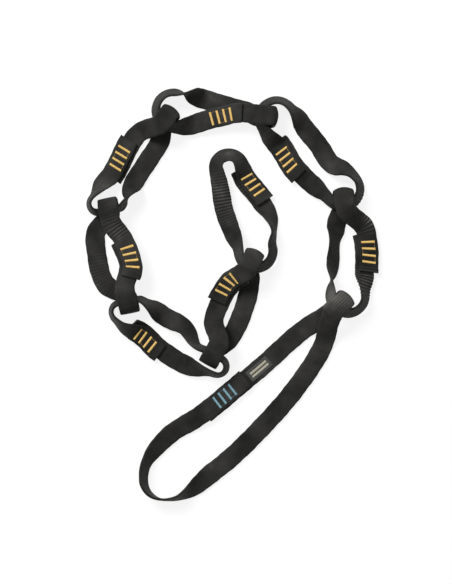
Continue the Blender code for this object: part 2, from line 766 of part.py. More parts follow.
def main():
    """Build the chain, each loop under the empty on the axis of the link before it."""
    for leftover in list(bpy.data.objects):
        bpy.data.objects.remove(leftover)
    ribbons, _ = build_ribbons(np.zeros(2))
    ribbons, points = build_ribbons(-plan_centre(ribbons))
    webbing = material("black_webbing", (0.030, 0.030, 0.029), 0.85)
    yellow = material("yellow_thread", (0.72, 0.40, 0.06), 0.6)
    blue = material("blue_thread", (0.16, 0.42, 0.60), 0.6)
    woven = material("label_cloth", (0.05, 0.05, 0.05), 0.8)
    pale = material("label_thread", (0.60, 0.58, 0.50), 0.6)
    holder, place = None, np.zeros(3)
    for index, loop in enumerate(LOOPS):
        if index:
            next_place = link_axes(points)[index - 1][0]
            holder = carrier(f"link_axis_{index}", next_place, holder, place)
            place = next_place
        ribbon = ribbons[index]
        name = f"webbing_loop_{loop.number}"
        add_object(name, strip_mesh(name, ribbon), webbing, holder, place)
        add_tacks(loop, ribbon, blue if index == 0 else yellow, holder, place)
        if index == 0:
            add_label(ribbon, woven, pale, holder, place)


if __name__ == "__main__":
    main()
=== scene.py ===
"""Climbing daisy chain: woven webbing, sewn laps and a bare label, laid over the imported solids.

Metres, +Z up. Each strip of webbing is laid along the middle line of the solid that it stands for.
"""

from math import cos, pi, radians, sin

import bmesh
import bpy
import numpy as np
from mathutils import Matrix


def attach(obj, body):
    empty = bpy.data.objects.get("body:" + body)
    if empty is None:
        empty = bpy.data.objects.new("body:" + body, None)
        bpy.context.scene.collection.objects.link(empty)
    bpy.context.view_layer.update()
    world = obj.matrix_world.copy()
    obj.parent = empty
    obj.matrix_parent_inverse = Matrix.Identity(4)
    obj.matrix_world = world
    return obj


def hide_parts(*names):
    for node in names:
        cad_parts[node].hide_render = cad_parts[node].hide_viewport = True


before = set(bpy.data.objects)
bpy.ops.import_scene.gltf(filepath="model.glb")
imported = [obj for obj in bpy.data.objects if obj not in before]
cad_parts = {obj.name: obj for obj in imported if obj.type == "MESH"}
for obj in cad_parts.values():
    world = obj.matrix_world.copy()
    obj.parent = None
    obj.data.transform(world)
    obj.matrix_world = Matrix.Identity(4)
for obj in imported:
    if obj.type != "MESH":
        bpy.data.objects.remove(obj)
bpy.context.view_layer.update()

bl_info = {
    "name": "Daisy Chain Maker",
    "version": (1, 0, 0),
    "blender": (4, 5, 0),
    "location": "3D View > Sidebar > Daisy Chain",
    "description": "Webbing loops, bar tacks, label and stage of a climbing daisy chain",
    "category": "Object",
}

LOOPS = range(1, 10)
LONG_LOOP = 1

# Photograph's frame on the ground, at 0.82 mm a pixel: its middle and its height
VIEW_MIDDLE = (-0.00480, 0.00260)
VIEW_HEIGHT = 0.4789

# Places where the webbing is puckered crosswise, which also get painted highlights on their ridge tops and
# painted shade between them: x, y, radius, height of the ridges
PUCKERS = (
    (0.1135, 0.0690, 0.021, 0.00045),
    (0.1075, 0.0115, 0.015, 0.00042),
    (-0.0050, 0.0800, 0.026, 0.00030),
    (-0.1074, 0.0173, 0.022, 0.00010),
    (-0.0905, 0.0560, 0.013, 0.00026),
)
# How unevenly the ridges of a pucker follow one another: radians, and radians a metre along the strip
PUCKER_SWAY = 1.1
PUCKER_SWAY_RATE = 210.0

# Place where the webbing is creased lengthwise and painted paler as a highlight, with painted highlight
# streaks along the creases: x, y, radius
HIGHLIT_CREASES = (0.0880, -0.0050, 0.015)
CREASE_PITCH = 0.0021

# Reading the solids: how near points are that make one corner, and lengths that count as the same
ONE_CORNER = 2e-6
SAME_LENGTH = 6e-6

# A strip is folded where more than this share of its way goes straight down or up. Its corners draw back
# along the way that it comes from, taken this far before the fold, and the rounding fades out this far past
# it. A fold longer than a straight drop is rounded in full, and a shorter one by a share.
FOLD_DROP = 0.8
FOLD_APPROACH = 0.006
FOLD_REACH = 0.008
STRAIGHT_DROP = 0.014
ROUND_FOLD_SHARE = 0.15

# Points of the webbing's outline on each flat face and round each selvedge, the shared ones counted in both
FACE_COLUMNS = 13
SELVEDGE_COLUMNS = 7

# Cut ends: length of the melted bead and of the taper at its tip, and the shares by which the bead thickens
# the webbing and the taper thins and narrows it
BEAD = 0.0016
TAPER = 0.0005
BEAD_SWELL = 0.10
TAPER_THIN = 0.35
TAPER_NARROW = 0.02

# Waves along the webbing, as a height and radians a metre: two at its edges, and one on its faces that also
# slants across it
SLOW_SWAY = (0.00012, 331.0)
QUICK_SWAY = (0.00008, 811.0)
RIPPLE = (0.00005, 523.0)
RIPPLE_SLANT = 300.0

# Stitches, as how far they rise out of the cloth and how far they sink into it
BAR_STITCH = (0.00042, 0.00025)
JUMP_STITCH = (0.00018, 0.00008)
LABEL_STITCH = (0.00016, 0.00012)

# Thickness of a jump thread as a share of the others', sides of a thread, rings of points along a stitch,
# and how square the arch of a stitch is, where 1 is round
JUMP_THINNESS = 0.3
THREAD_SIDES = 6
THREAD_RINGS = 6
ARCH = 0.7

# How far the stitches of a bar are out of line, and how that changes from stitch to stitch and tack to tack
RAGGED = 0.00009
RAGGED_TURN = 2.4
RAGGED_START = 1000.0

# Label: how far its pale bands lie from its middle, half their width, how much of its length they reach to
# each side, the pitch of its ribs and picks, the size of its mesh's squares and its lift off the webbing
BAND_PLACE = 0.0015
BAND_HALF = 0.0009
BAND_REACH = 0.39
RIB_PITCH = 0.00042
PICK_PITCH = 0.00036
LABEL_SQUARE = 0.0005
LABEL_LIFT = 0.00012
LABEL_THREAD_COLOUR = (0.10, 0.10, 0.09)

# Floor: how far it lies below the chain, its grey as a source of light and as the eye sees it, and its glow
FLOOR_DROP = 0.0006
FLOOR_GREY = 0.80
SEEN_GREY = 0.19
FLOOR_GLOW = 0.85
LAMP_PLACE = (-1.10, 1.40, 1.90)
LAMP_SIZE = 1.2
# Height of the camera's sensor in millimetres, from which the length of its lens follows
SENSOR = 24.0
WHITE = (1.0, 1.0, 1.0, 1.0)


class WebbingSettings(bpy.types.PropertyGroup):
    """The woven strips."""
    colour: bpy.props.FloatVectorProperty(
        name="Webbing colour", description="Colour of the yarn", subtype="COLOR", size=3, min=0.0, max=1.0,
        default=(0.0178, 0.0174, 0.0160))
    width: bpy.props.FloatProperty(
        name="Width", description="Width of the webbing", default=0.0160, unit="LENGTH")
    thickness: bpy.props.FloatProperty(
        name="Thickness", description="Thickness of the webbing", default=0.0020, unit="LENGTH")
    cad_edge: bpy.props.FloatProperty(
        name="Solid's edge", description="Width of the sloping edge of the solids", default=0.0006,
        unit="LENGTH")
    selvedge: bpy.props.FloatProperty(
        name="Selvedge", description="Width of the rounded edge", default=0.0011, unit="LENGTH")
    step: bpy.props.FloatProperty(
        name="Step", description="Distance between the rows of the mesh", default=0.0005, unit="LENGTH")
    yarn: bpy.props.FloatProperty(
        name="Yarn", description="Width of one lengthwise yarn", default=0.00085, unit="LENGTH")
    pick: bpy.props.FloatProperty(
        name="Pick", description="Distance between two crosswise yarns", default=0.0011, unit="LENGTH")
    fold_round: bpy.props.FloatProperty(
        name="Fold rounding", description="How far a fold's corners draw back from its middle",
        default=0.0022, unit="LENGTH")
    ridge: bpy.props.FloatProperty(
        name="Ridge", description="Distance between two ridges where it puckers", default=0.0025,
        unit="LENGTH")


class TackSettings(bpy.types.PropertyGroup):
    """The sewn bars on each lap."""
    short_colour: bpy.props.FloatVectorProperty(
        name="Short loops' thread", description="Colour of the thread on the short loops", subtype="COLOR",
        size=3, min=0.0, max=1.0, default=(0.68, 0.46, 0.13))
    long_colour: bpy.props.FloatVectorProperty(
        name="Long loop's thread", description="Colour of the thread on the long loop", subtype="COLOR",
        size=3, min=0.0, max=1.0, default=(0.17, 0.33, 0.39))
    bars: bpy.props.IntProperty(name="Bars", description="Bars in a tack", default=4, min=1)
    pitch: bpy.props.FloatProperty(
        name="Pitch", description="Distance between two bars", default=0.0055, unit="LENGTH")
    length: bpy.props.FloatProperty(
        name="Bar length", description="Length of a bar, across the webbing", default=0.0106, unit="LENGTH")
    width: bpy.props.FloatProperty(
        name="Bar width", description="Length of a stitch, along the webbing", default=0.0020,
        unit="LENGTH")
    thread: bpy.props.FloatProperty(
        name="Thread", description="Thickness of the thread", default=0.00040, unit="LENGTH")
    stitches: bpy.props.IntProperty(name="Stitches", description="Stitches in a bar", default=34, min=2)


class LabelSettings(bpy.types.PropertyGroup):
    """The bare label on the long loop."""
    colour: bpy.props.FloatVectorProperty(
        name="Label colour", description="Colour of the label's cloth", subtype="COLOR", size=3, min=0.0,
        max=1.0, default=(0.026, 0.026, 0.024))
    band_colour: bpy.props.FloatVectorProperty(
        name="Band colour", description="Colour of the bands woven into the label", subtype="COLOR", size=3,
        min=0.0, max=1.0, default=(0.58, 0.55, 0.42))
    length: bpy.props.FloatProperty(
        name="Length", description="Along the webbing", default=0.0220, unit="LENGTH")
    width: bpy.props.FloatProperty(
        name="Width", description="Across the webbing", default=0.0100, unit="LENGTH")
    thickness: bpy.props.FloatProperty(
        name="Thickness", description="Thickness of the cloth", default=0.00045, unit="LENGTH")


class StageSettings(bpy.types.PropertyGroup):
    """The floor, the light and the camera."""
    distance: bpy.props.FloatProperty(
        name="Camera height", description="Height of the camera over the floor", default=1.2, unit="LENGTH")
    daylight: bpy.props.FloatProperty(
        name="Daylight", description="Even light from all round", default=0.30, min=0.0)
    lamp: bpy.props.FloatProperty(
        name="Lamp", description="Power of the soft lamp", default=64.0, unit="POWER")


def tidy_selection():
    """Leave edit mode, if it is on, and deselect everything."""
    if bpy.context.object and bpy.context.object.mode != "OBJECT":
        bpy.ops.object.mode_set(mode="OBJECT")
    bpy.ops.object.select_all(action="DESELECT")


def pick_out(*objects):
    """Select these objects alone, with the first one active."""
    tidy_selection()
    for each in objects:
        each.select_set(True)
    bpy.context.view_layer.objects.active = objects[0]


def edit_all(piece):
    """Go into edit mode on a piece, with all of it selected."""
    pick_out(piece)
    bpy.ops.object.mode_set(mode="EDIT")
    bpy.ops.mesh.select_all(action="SELECT")


def cad_rings(node_name):
    """Cross-sections of a CAD strip, as pairs of edge points, in order from one cut end to the other.

    A cross-section is two edge points a webbing's width apart, with two pairs of face corners about the
    same middle.
    """
    settings = bpy.context.scene.daisy_webbing
    shape = bmesh.new()
    shape.from_mesh(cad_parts[node_name].data)
    bmesh.ops.remove_doubles(shape, verts=shape.verts, dist=ONE_CORNER)
    shape.verts.index_update()
    corners = np.array([vert.co[:] for vert in shape.verts])
    links = [(edge.verts[0].index, edge.verts[1].index) for edge in shape.edges]
    shape.free()
    apart = np.linalg.norm(corners[:, None] - corners[None], axis=2)
    wide = np.argwhere(np.triu(np.abs(apart - settings.width) < SAME_LENGTH))
    slant = np.hypot(settings.width - 2 * settings.cad_edge, settings.thickness)
    crossed = np.argwhere(np.triu(np.abs(apart - slant) < SAME_LENGTH))
    crossings = (corners[crossed[:, 0]] + corners[crossed[:, 1]]) / 2
    rings, ring_of = [], {}
    for one, other in wide:
        middle = (corners[one] + corners[other]) / 2
        shared = crossed[np.linalg.norm(crossings - middle, axis=1) < SAME_LENGTH]
        if len(shared) == 2:
            ring_of.update(dict.fromkeys((one, other, *shared.ravel()), len(rings)))
            rings.append((corners[one], corners[other]))
    near = [set() for _ in rings]
    for one, other in links:
        if one in ring_of and other in ring_of and ring_of[one] != ring_of[other]:
            near[ring_of[one]].add(ring_of[other])
            near[ring_of[other]].add(ring_of[one])
    middles = np.array([(one + other) / 2 for one, other in rings])
    return [rings[k] for k in in_order(near, middles)]


def in_order(near, middles):
    """The order that visits all the cross-sections, always on to the nearest linked one, from one end.

    It is tried from each of the dozen with the fewest links, and the longest order is kept.
    """
    best = []
    for start in sorted(range(len(near)), key=lambda k: len(near[k]))[:12]:
        order, seen = [start], {start}
        while ahead := [k for k in near[order[-1]] if k not in seen]:
            order.append(min(ahead, key=lambda k: np.linalg.norm(middles[k] - middles[order[-1]])))
            seen.add(order[-1])
        best = max(best, order, key=len)
    if len(best) < len(near):
        raise RuntimeError(f"only {len(best)} of {len(near)} cross-sections are in order")
    return best


class Strip:
    """The middle line of a strip of webbing, its width direction and its face, at even steps."""

    def __init__(self, node_name, step):
        rings = cad_rings(node_name)
        middles = np.array([(one + other) / 2 for one, other in rings])
        ways = []
        for one, other in rings:
            way = (one - other) / np.linalg.norm(one - other)
            ways.append(-way if ways and way @ ways[-1] < 0 else way)
        spans = np.linalg.norm(np.diff(middles, axis=0), axis=1)
        walked = np.concatenate(((0.0,), np.cumsum(spans)))
        count = int(walked[-1] / step)
        self.distance = np.linspace(0.0, walked[-1], count + 1)
        self.points = smooth_through(middles, spans, walked, self.distance)
        across = smooth_through(np.array(ways), spans, walked, self.distance)
        self.across = across / np.linalg.norm(across, axis=1)[:, None]
        self.tangent = np.gradient(self.points, self.distance, axis=0)
        face = np.cross(self.across, self.tangent)
        self.face = face / np.linalg.norm(face, axis=1)[:, None]

    def place(self, along, across, height):
        """Places on the strip: along it, across it, and off its middle on its face's side."""
        found = [np.stack([np.interp(along, self.distance, table[:, axis]) for axis in range(3)], axis=1)
                 for table in (self.points, self.across, self.face)]
        return found[0] + across[:, None] * found[1] + height[:, None] * found[2]

    def draw_back(self):
        """At each step, the way that a fold's corners draw back, as long as their share of the rounding.

        A fold without a straight drop draws back less, because the strip inside it tilts.
        """
        steep = np.flatnonzero(np.abs(self.tangent[:, 2]) > FOLD_DROP)
        back = np.zeros_like(self.points)
        for run in np.split(steep, np.flatnonzero(np.diff(steep) > 1) + 1):
            if not len(run):
                continue
            before = max(run[0] - int(FOLD_APPROACH / self.distance[1]), 0)
            way = (self.points[run[0]] - self.points[before]) * (1.0, 1.0, 0.0)
            first, last = self.distance[run[0]], self.distance[run[-1]]
            past = np.maximum(first - self.distance, self.distance - last)
            near = np.clip(1.0 - past / FOLD_REACH, 0.0, 1.0)
            share = 1.0 if last - first > STRAIGHT_DROP else ROUND_FOLD_SHARE
            back -= np.outer(share * near * near * (3.0 - 2.0 * near), way / np.linalg.norm(way))
        return back

    def seat_of(self, node_name):
        """Distance along the strip of a piece sewn on it, and the side of the strip that it is on."""
        corners = np.array([vertex.co[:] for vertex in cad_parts[node_name].data.vertices])
        middle = (corners.max(axis=0) + corners.min(axis=0)) / 2
        nearest = int(np.argmin(np.linalg.norm(self.points - middle, axis=1)))
        side = (corners.mean(axis=0) - self.points[nearest]) @ self.face[nearest]
        return self.distance[nearest], 1.0 if side > 0 else -1.0


def smooth_through(values, spans, walked, wanted):
    """Values given at the rings, drawn as a smooth curve through them."""
    slopes = np.zeros_like(values)
    rates = np.diff(values, axis=0) / spans[:, None]
    weights = (spans[:-1] / (spans[:-1] + spans[1:]))[:, None]
    slopes[1:-1] = rates[:-1] * (1 - weights) + rates[1:] * weights
    slopes[0], slopes[-1] = rates[0], rates[-1]
    index = np.clip(np.searchsorted(walked, wanted, side="right") - 1, 0, len(spans) - 1)
    share = ((wanted - walked[index]) / spans[index])[:, None]
    span = spans[index][:, None]
    ease = share * share * (3.0 - 2.0 * share)
    return (values[index] * (1 - ease) + values[index + 1] * ease
            + span * slopes[index] * share * (1 - share) ** 2
            - span * slopes[index + 1] * share ** 2 * (1 - share))


def strip_of(number):
    """The strip of one loop."""
    return Strip(f"webbing_loop_{number}", bpy.context.scene.daisy_webbing.step)


def webbing_outline(settings):
    """Closed outline of the webbing, as places across and off its middle: flat faces, round selvedges."""
    half, thick, round_off = settings.width / 2, settings.thickness / 2, settings.selvedge
    flat = half - round_off
    top = [(place, thick) for place in np.linspace(-flat, flat, FACE_COLUMNS)]
    turns = np.linspace(0, pi, SELVEDGE_COLUMNS)[1:-1]
    right = [(flat + round_off * sin(turn), thick * cos(turn)) for turn in turns]
    bottom = [(-place, -thick) for place, _ in top]
    left = [(-place, -height) for place, height in right]
    outline = np.array(top + right + bottom + left)
    return np.vstack((outline, outline[:1]))


def pucker(points, distance, settings):
    """How far the webbing stands off its middle line where it is puckered crosswise."""
    lift = np.zeros(len(points))
    for x, y, radius, depth in PUCKERS:
        away = np.hypot(points[:, 0] - x, points[:, 1] - y) / radius
        lift += depth * np.clip(1.0 - away * away, 0.0, 1.0)
    sway = PUCKER_SWAY * np.sin(distance * PUCKER_SWAY_RATE)
    return lift * np.sin(distance * 2 * pi / settings.ridge + sway)


def wave(shape, distance, start):
    """A wave along the strip, from its height and rate."""
    height, rate = shape
    return height * np.sin(distance * rate + start)


def lay_webbing(number):
    """One strip of webbing, as a cloth grid laid along its route and closed round into a flat tape."""
    settings = bpy.context.scene.daisy_webbing
    strip = strip_of(number)
    outline = webbing_outline(settings)
    columns, rows = len(outline) - 1, len(strip.distance) - 1
    tidy_selection()
    bpy.ops.mesh.primitive_grid_add(x_subdivisions=columns, y_subdivisions=rows, size=1.0, calc_uvs=True)
    piece = bpy.context.object
    piece.name = piece.data.name = f"webbing_{number}"
    mesh = piece.data
    flat = np.empty(len(mesh.vertices) * 3)
    mesh.vertices.foreach_get("co", flat)
    flat = flat.reshape(-1, 3)
    column = np.rint((flat[:, 0] + 0.5) * columns).astype(int)
    row = np.rint((flat[:, 1] + 0.5) * rows).astype(int)

    distance = strip.distance[row]
    from_end = np.minimum(distance, strip.distance[-1] - distance)
    bead = np.clip(1.0 - from_end / BEAD, 0.0, 1.0)
    taper = np.clip(1.0 - from_end / TAPER, 0.0, 1.0)
    across = outline[column, 0] * (1.0 - TAPER_NARROW * taper)
    off = outline[column, 1] * (1.0 + BEAD_SWELL * bead - TAPER_THIN * taper)
    sway = wave(SLOW_SWAY, distance, number) + wave(QUICK_SWAY, distance, 2.0 * number)
    edge = np.abs(outline[column, 0]) / (settings.width / 2)
    across = across + sway * edge ** 4 * np.sign(outline[column, 0])
    ripple = wave(RIPPLE, distance, number + RIPPLE_SLANT * outline[column, 0])
    lift = pucker(strip.points, strip.distance, settings)[row] + ripple
    places = strip.place(distance, across, off + lift)
    places += strip.draw_back()[row] * (settings.fold_round * edge ** 2)[:, None]
    mesh.vertices.foreach_set("co", places.ravel())

    girth = np.concatenate(((0.0,), np.cumsum(np.linalg.norm(np.diff(outline, axis=0), axis=1))))
    corner = np.empty(len(mesh.loops), dtype=int)
    mesh.loops.foreach_get("vertex_index", corner)
    chart = np.stack((girth[column[corner]], distance[corner]), axis=1)
    mesh.uv_layers[0].name = "cloth"
    mesh.uv_layers[0].data.foreach_set("uv", chart.ravel())
    mesh.update()

    edit_all(piece)
    bpy.ops.mesh.remove_doubles(threshold=1e-6)
    bpy.ops.mesh.select_all(action="SELECT")
    bpy.ops.mesh.fill_holes(sides=0)
    bpy.ops.mesh.select_all(action="SELECT")
    bpy.ops.mesh.normals_make_consistent(inside=False)
    bpy.ops.object.mode_set(mode="OBJECT")
    mesh.materials.append(finish("black_webbing"))
    mesh.materials.append(finish("melted_end"))
    # Only the faces that close the two cut ends have more than four corners
    for face in mesh.polygons:
        if len(face.vertices) > 4:
            face.material_index = 1
    pick_out(piece)
    bpy.ops.object.shade_smooth_by_angle(angle=radians(50))
    return piece


def model_thread(name, span, thread, depth):
    """One stitch: a round thread that comes out of the cloth, arches along X and goes in again."""
    rise, sink = depth
    tidy_selection()
    bpy.ops.mesh.primitive_circle_add(vertices=THREAD_SIDES, radius=thread / 2, fill_type="NGON",
                                      location=(-span / 2, 0.0, -sink), rotation=(0.0, -pi / 2, 0.0))
    stitch = bpy.context.object
    stitch.name = stitch.data.name = name
    bpy.ops.object.transform_apply(location=True, rotation=True, scale=True)
    edit_all(stitch)
    turns = np.linspace(0.0, pi, THREAD_RINGS)
    along = -span / 2 * np.cos(turns)
    height = -sink + (rise + sink) * np.sin(turns) ** ARCH
    for k in range(1, len(turns)):
        step = (along[k] - along[k - 1], 0.0, height[k] - height[k - 1])
        bpy.ops.mesh.extrude_region_move(TRANSFORM_OT_translate={"value": step})
    bpy.ops.mesh.select_all(action="SELECT")
    bpy.ops.mesh.normals_make_consistent(inside=False)
    bpy.ops.object.mode_set(mode="OBJECT")
    chart = stitch.data.uv_layers.new(name="thread")
    for corner in stitch.data.loops:
        place = stitch.data.vertices[corner.vertex_index].co
        chart.data[corner.index].uv = (place.x / span + 0.5, place.z / rise)
    return stitch


def repeat(piece, count, offset):
    """Repeat a piece in a row with an array that is then applied."""
    pick_out(piece)
    array = piece.modifiers.new("row", "ARRAY")
    array.count = count
    array.use_relative_offset = False
    array.use_constant_offset = True
    array.constant_offset_displace = offset
    bpy.ops.object.modifier_apply(modifier="row")


def shift(piece, offset):
    """Move a piece's mesh in edit mode."""
    edit_all(piece)
    bpy.ops.transform.translate(value=offset)
    bpy.ops.object.mode_set(mode="OBJECT")


def shifted(piece, offset):
    """A copy of a piece with its own mesh, moved in edit mode."""
    pick_out(piece)
    bpy.ops.object.duplicate(linked=False)
    copy = bpy.context.object
    shift(copy, offset)
    return copy


def joined(name, pieces):
    """Several pieces made one."""
    pick_out(*pieces)
    bpy.ops.object.join()
    whole = bpy.context.object
    whole.name = whole.data.name = name
    return whole


def model_tack():
    """A bar tack, flat: bars of close stitches across the webbing, linked by jumps at alternate ends."""
    settings = bpy.context.scene.daisy_tacks
    gap = settings.length / (settings.stitches - 1)
    stitch = model_thread("bar", settings.width, settings.thread, BAR_STITCH)
    shift(stitch, (-(settings.bars - 1) * settings.pitch / 2, -settings.length / 2, 0.0))
    repeat(stitch, settings.stitches, (0.0, gap, 0.0))
    bars = [stitch] + [shifted(stitch, (settings.pitch * bar, 0.0, 0.0)) for bar in range(1, settings.bars)]
    jump = model_thread("jump", settings.pitch, settings.thread * JUMP_THINNESS, JUMP_STITCH)
    jumps = []
    for bar in range(settings.bars - 1):
        middle = (bar - (settings.bars - 2) / 2) * settings.pitch
        side = 1.0 if bar % 2 else -1.0
        edge = side * (settings.length / 2 - settings.thread)
        jumps.append(shifted(jump, (middle, edge, 0.0)))
    bpy.data.objects.remove(jump)
    return joined("bar_tack", bars + jumps)


def lay_on(strip, flat, name, distance, side, seat, gap=None):
    """A copy of a flat piece, laid on a strip at a distance along it and on one side of it.

    A piece of stitches a gap apart gets them a little out of line.
    """
    piece = flat.copy()
    piece.data = flat.data.copy()
    piece.name = piece.data.name = name
    bpy.context.collection.objects.link(piece)
    places = np.empty(len(piece.data.vertices) * 3)
    piece.data.vertices.foreach_get("co", places)
    places = places.reshape(-1, 3)
    along = places[:, 0].copy()
    if gap:
        number = np.rint(places[:, 1] / gap)
        along += RAGGED * np.sin(number * RAGGED_TURN + distance * RAGGED_START)
    places = strip.place(distance + along, places[:, 1] * side, side * (seat + places[:, 2]))
    piece.data.vertices.foreach_set("co", places.ravel())
    piece.data.update()
    return piece


FINISHES = {}


def finish(name):
    """A material by name, made the first time that it is asked for."""
    if name not in FINISHES:
        FINISHES[name] = MAKERS[name]()
    return FINISHES[name]


def blank(name, **sockets):
    """A new material and its shader, with the plain numbers set on the shader's own sockets."""
    surface = bpy.data.materials.new(name)
    surface.use_nodes = True
    shader = surface.node_tree.nodes["Principled BSDF"]
    for socket, value in sockets.items():
        shader.inputs[socket.replace("_", " ")].default_value = value
    return surface, surface.node_tree, shader


def node(tree, kind, inputs=(), **settings):
    """A node with its settings, and its inputs linked or set in order."""
    made = tree.nodes.new(kind)
    for key, value in settings.items():
        setattr(made, key, value)
    for socket, value in inputs:
        if isinstance(value, bpy.types.NodeSocket):
            tree.links.new(value, made.inputs[socket])
        else:
            made.inputs[socket].default_value = value
    return made


def maths(tree, operation, *values):
    """The result of a Math node."""
    return node(tree, "ShaderNodeMath", list(enumerate(values)), operation=operation).outputs[0]


def ramp(tree, share, *stops):
    """A colour ramp from stops of a place and a colour."""
    made = node(tree, "ShaderNodeValToRGB", [(0, share)])
    band = made.color_ramp
    while len(band.elements) < len(stops):
        band.elements.new(0.5)
    for element, (place, colour) in zip(band.elements, stops):
        element.position = place
        element.color = (*colour, 1.0)
    return made.outputs[0]


def tinted(colour, share):
    """A colour made darker or lighter."""
    return tuple(min(1.0, part * share) for part in colour)


def noise(tree, scale, detail=2.0):
    """Soft noise on the object's own coordinates."""
    where = node(tree, "ShaderNodeTexCoord").outputs["Object"]
    made = node(tree, "ShaderNodeTexNoise", [("Vector", where), ("Scale", scale), ("Detail", detail)])
    return made.outputs[0]


def chart_places(tree, chart):
    """The two coordinates of a UV layer, each on its own."""
    places = node(tree, "ShaderNodeUVMap", uv_map=chart).outputs[0]
    return node(tree, "ShaderNodeSeparateXYZ", [(0, places)]).outputs[:2]


def waves(tree, place, pitch):
    """Ridges from 0 to 1, a pitch apart."""
    return maths(tree, "ABSOLUTE", maths(tree, "SINE", maths(tree, "MULTIPLY", place, pi / pitch)))


def colour_and_bump(tree, shader, colour, height, strength, distance):
    """Give the shader its colour and its bumps."""
    tree.links.new(colour, shader.inputs["Base Color"])
    sockets = [("Height", height), ("Strength", strength), ("Distance", distance)]
    tree.links.new(node(tree, "ShaderNodeBump", sockets).outputs[0], shader.inputs["Normal"])


def near_to(tree, x, y, radius):
    """How near a place is to one on the ground: 1 at it and 0 or less from the radius on."""
    where = node(tree, "ShaderNodeTexCoord").outputs["Object"]
    level = node(tree, "ShaderNodeVectorMath", [(0, where), (1, (1.0, 1.0, 0.0))], operation="MULTIPLY")
    place = [(0, level.outputs[0]), (1, (x, y, 0.0))]
    away = node(tree, "ShaderNodeVectorMath", place, operation="DISTANCE")
    return maths(tree, "SUBTRACT", 1.0, maths(tree, "DIVIDE", away.outputs["Value"], radius))


def puckered(tree, walked, settings):
    """How much the webbing is puckered at each place, from 0 to 1, and its ridges, from -1 to 1, which
    place the painted highlights on the ridge tops and the painted shade between them.
    """
    share, deepest = 0.0, max(depth for x, y, radius, depth in PUCKERS)
    for x, y, radius, depth in PUCKERS:
        near = maths(tree, "POWER", maths(tree, "MAXIMUM", near_to(tree, x, y, radius), 0.0), 0.6)
        share = maths(tree, "MAXIMUM", share, maths(tree, "MULTIPLY", near, depth / deepest))
    turn = maths(tree, "SINE", maths(tree, "MULTIPLY", walked, PUCKER_SWAY_RATE))
    sway = maths(tree, "MULTIPLY", turn, PUCKER_SWAY)
    ridges = maths(tree, "SINE", maths(tree, "MULTIPLY_ADD", walked, 2 * pi / settings.ridge, sway))
    return share, ridges


def make_webbing():
    """Black webbing: a close plain weave with a little dust and fuzz, with painted shade in the weave's
    hollows, painted highlights on the ridge tops where it puckers and painted shade between them, and a
    painted highlight over a patch of lengthwise creases.
    """
    settings = bpy.context.scene.daisy_webbing
    surface, tree, shader = blank("black_webbing", Sheen_Weight=0.04, Sheen_Roughness=0.45,
                                  Sheen_Tint=(0.85, 0.85, 0.82, 1.0), Specular_IOR_Level=0.12)
    round_strip, along_strip = chart_places(tree, "cloth")
    yarn = maths(tree, "DIVIDE", round_strip, settings.yarn)
    warp = maths(tree, "SINE", maths(tree, "MULTIPLY", maths(tree, "FRACT", yarn), pi))
    turn = maths(tree, "MULTIPLY", maths(tree, "FLOOR", yarn), 0.5)
    pick = maths(tree, "ADD", maths(tree, "DIVIDE", along_strip, settings.pick), turn)
    weft = maths(tree, "ABSOLUTE", maths(tree, "SINE", maths(tree, "MULTIPLY", pick, pi)))
    weave = maths(tree, "MULTIPLY", warp, maths(tree, "MULTIPLY_ADD", weft, 0.6, 0.4))
    fuzz = noise(tree, 2600.0, 3.0)
    cloth = maths(tree, "MULTIPLY_ADD", fuzz, 0.35, weave)
    dust = noise(tree, 42.0, 5.0)
    share, ridges = puckered(tree, along_strip, settings)
    # Painted light where the webbing puckers: ridge tops paler as highlights, the hollows between them
    # darker as shade, and the whole place a little paler as a highlight
    wear_and_painted_light = maths(tree, "MULTIPLY", share, maths(tree, "MULTIPLY_ADD", ridges, 0.40, 0.20))
    # Painted highlight over the creased patch, with paler painted streaks along the creases; the creases
    # are also given as bumps
    highlit_creases = maths(tree, "POWER", maths(tree, "MAXIMUM", near_to(tree, *HIGHLIT_CREASES), 0.0), 0.5)
    crease = maths(tree, "SINE", maths(tree, "MULTIPLY", round_strip, 2 * pi / CREASE_PITCH))
    wear_and_painted_light = maths(tree, "MULTIPLY_ADD", highlit_creases, maths(tree, "MULTIPLY_ADD", crease, 0.08, 0.54), wear_and_painted_light)
    cloth = maths(tree, "MULTIPLY_ADD", maths(tree, "MULTIPLY", highlit_creases, crease), 0.9, cloth)
    patches = maths(tree, "MULTIPLY_ADD", dust, 1.5, -0.40)
    # The weave's hollows between the yarns painted darker as shade; the patches are random dust
    plain = maths(tree, "MULTIPLY_ADD", weave, 0.30, patches)
    # The stops above the webbing's own colour lighten the painted highlights and the random dust patches,
    # and the stop below it darkens the painted shade
    colour = ramp(tree, maths(tree, "ADD", plain, wear_and_painted_light), (0.20, tinted(settings.colour, 0.15)),
                  (0.48, tuple(settings.colour)), (0.80, tinted(settings.colour, 2.2)),
                  (1.0, tinted(settings.colour, 6.5)))
    colour_and_bump(tree, shader, colour, cloth, strength=0.55, distance=0.00022)
    rough = maths(tree, "MULTIPLY_ADD", dust, 0.25, 0.55)
    tree.links.new(rough, shader.inputs["Roughness"])
    return surface


def make_melted_end():
    """The cut end of the webbing, melted so that it can't fray."""
    surface, tree, shader = blank("melted_end", Roughness=0.35, Specular_IOR_Level=0.5)
    lumps = noise(tree, 1500.0, 2.0)
    colour = ramp(tree, lumps, (0.3, (0.012, 0.012, 0.012)), (0.7, (0.035, 0.034, 0.032)))
    colour_and_bump(tree, shader, colour, lumps, strength=0.6, distance=0.0003)
    return surface


